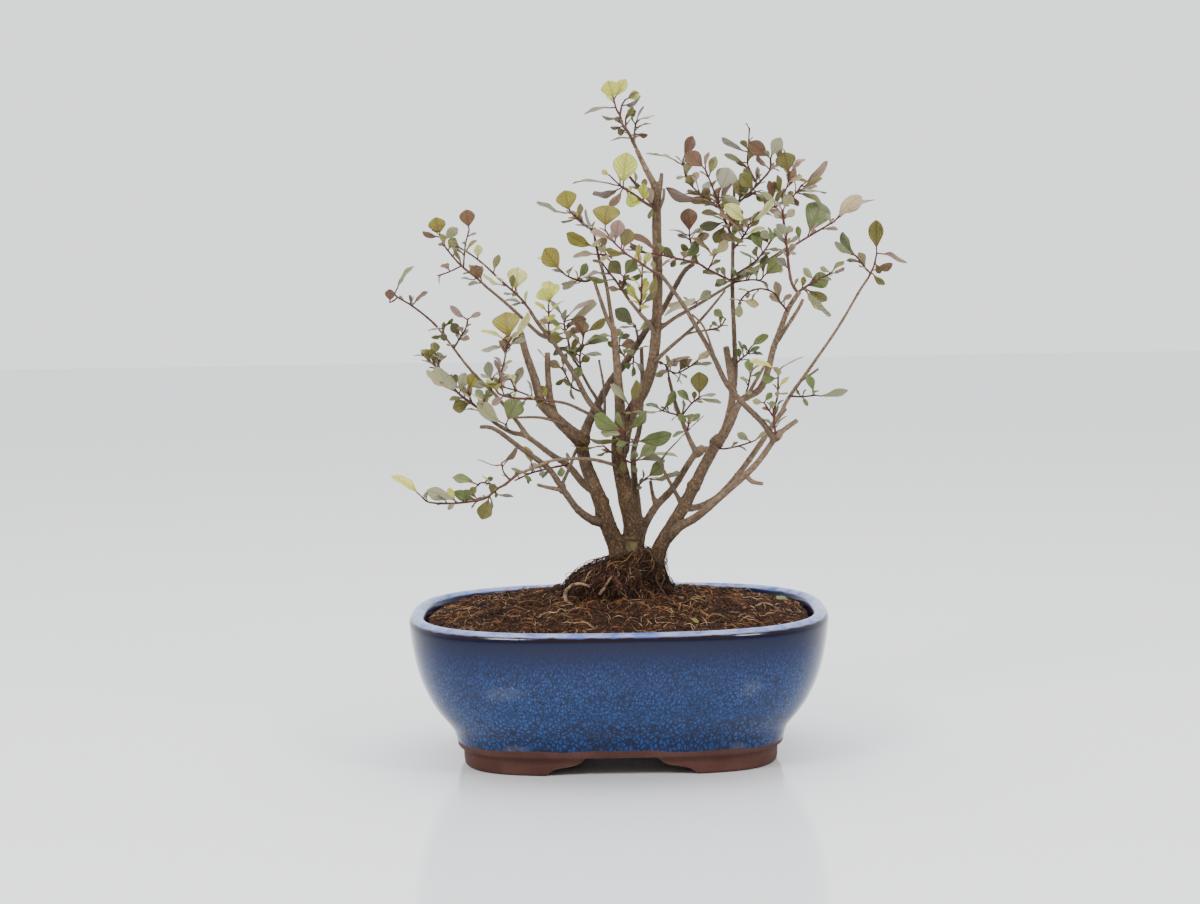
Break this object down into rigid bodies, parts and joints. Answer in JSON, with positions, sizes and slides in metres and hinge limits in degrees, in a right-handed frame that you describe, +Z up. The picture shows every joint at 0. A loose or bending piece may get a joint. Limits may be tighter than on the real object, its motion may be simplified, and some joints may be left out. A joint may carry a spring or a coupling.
{
  "type": "potted bonsai tree",
  "caption": "Young multi-stemmed New Zealand myrtle bonsai with small rounded leaves, on a raised root ball in an oblong glazed pot with bracket feet.",
  "frame": {"origin": "on the surface that the pot stands on, under the middle of the whole plant's box", "axes": "+X along the pot's length to the right, +Y to the back, +Z up"},
  "size_m": [0.253, 0.15, 0.3216],
  "materials": {
    "glaze": "mottled gloss glaze over a bare clay foot",
    "soil": "rough fibre",
    "roots": "rough fibre",
    "bark": "rough bark",
    "leaves": "satin leaf"
  },
  "bodies": {
    "root": {"pot": "glaze", "root_ball": "roots", "soil": "soil", "spray_arch": "leaves", "spray_behind_fork": "leaves", "spray_behind_low": "leaves", "spray_behind_trunk": "leaves", "spray_centre_front": "leaves", "spray_centre_low": "leaves", "spray_cream_pair": "leaves", "spray_cross_twig": "leaves", "spray_crown_left": "leaves", "spray_crown_right": "leaves", "spray_crown_top": "leaves", "spray_cut_left": "leaves", "spray_dark_left": "leaves", "spray_dark_stub": "leaves", "spray_fan_green": "leaves", "spray_far_left": "leaves", "spray_far_right": "leaves", "spray_fork_inner": "leaves", "spray_fork_left": "leaves", "spray_front_right": "leaves", "spray_front_twig": "leaves", "spray_green_pair": "leaves", "spray_green_right": "leaves", "spray_grey_left": "leaves", "spray_inner_green": "leaves", "spray_inner_left": "leaves", "spray_leader_low": "leaves", "spray_left_middle": "leaves", "spray_left_shoot": "leaves", "spray_left_tip": "leaves", "spray_lime_pair": "leaves", "spray_long_stalk": "leaves", "spray_low_left": "leaves", "spray_low_left_inner": "leaves", "spray_middle": "leaves", "spray_mint": "leaves", "spray_olive_single": "leaves", "spray_on_cut_twig": "leaves", "spray_over_fork": "leaves", "spray_pink_left": "leaves", "spray_red_stalk": "leaves", "spray_red_twig": "leaves", "spray_right_green": "leaves", "spray_right_low": "leaves", "spray_right_middle": "leaves", "spray_right_riser": "leaves", "spray_right_rod": "leaves", "spray_right_shoulder": "leaves", "spray_right_side": "leaves", "spray_rod_side": "leaves", "spray_small_right": "leaves", "spray_thin_stalk": "leaves", "spray_top": "leaves", "spray_upper_left": "leaves", "spray_upper_middle": "leaves", "spray_upright_brown": "leaves", "wood": "bark"}
  },
  "joints": []
}
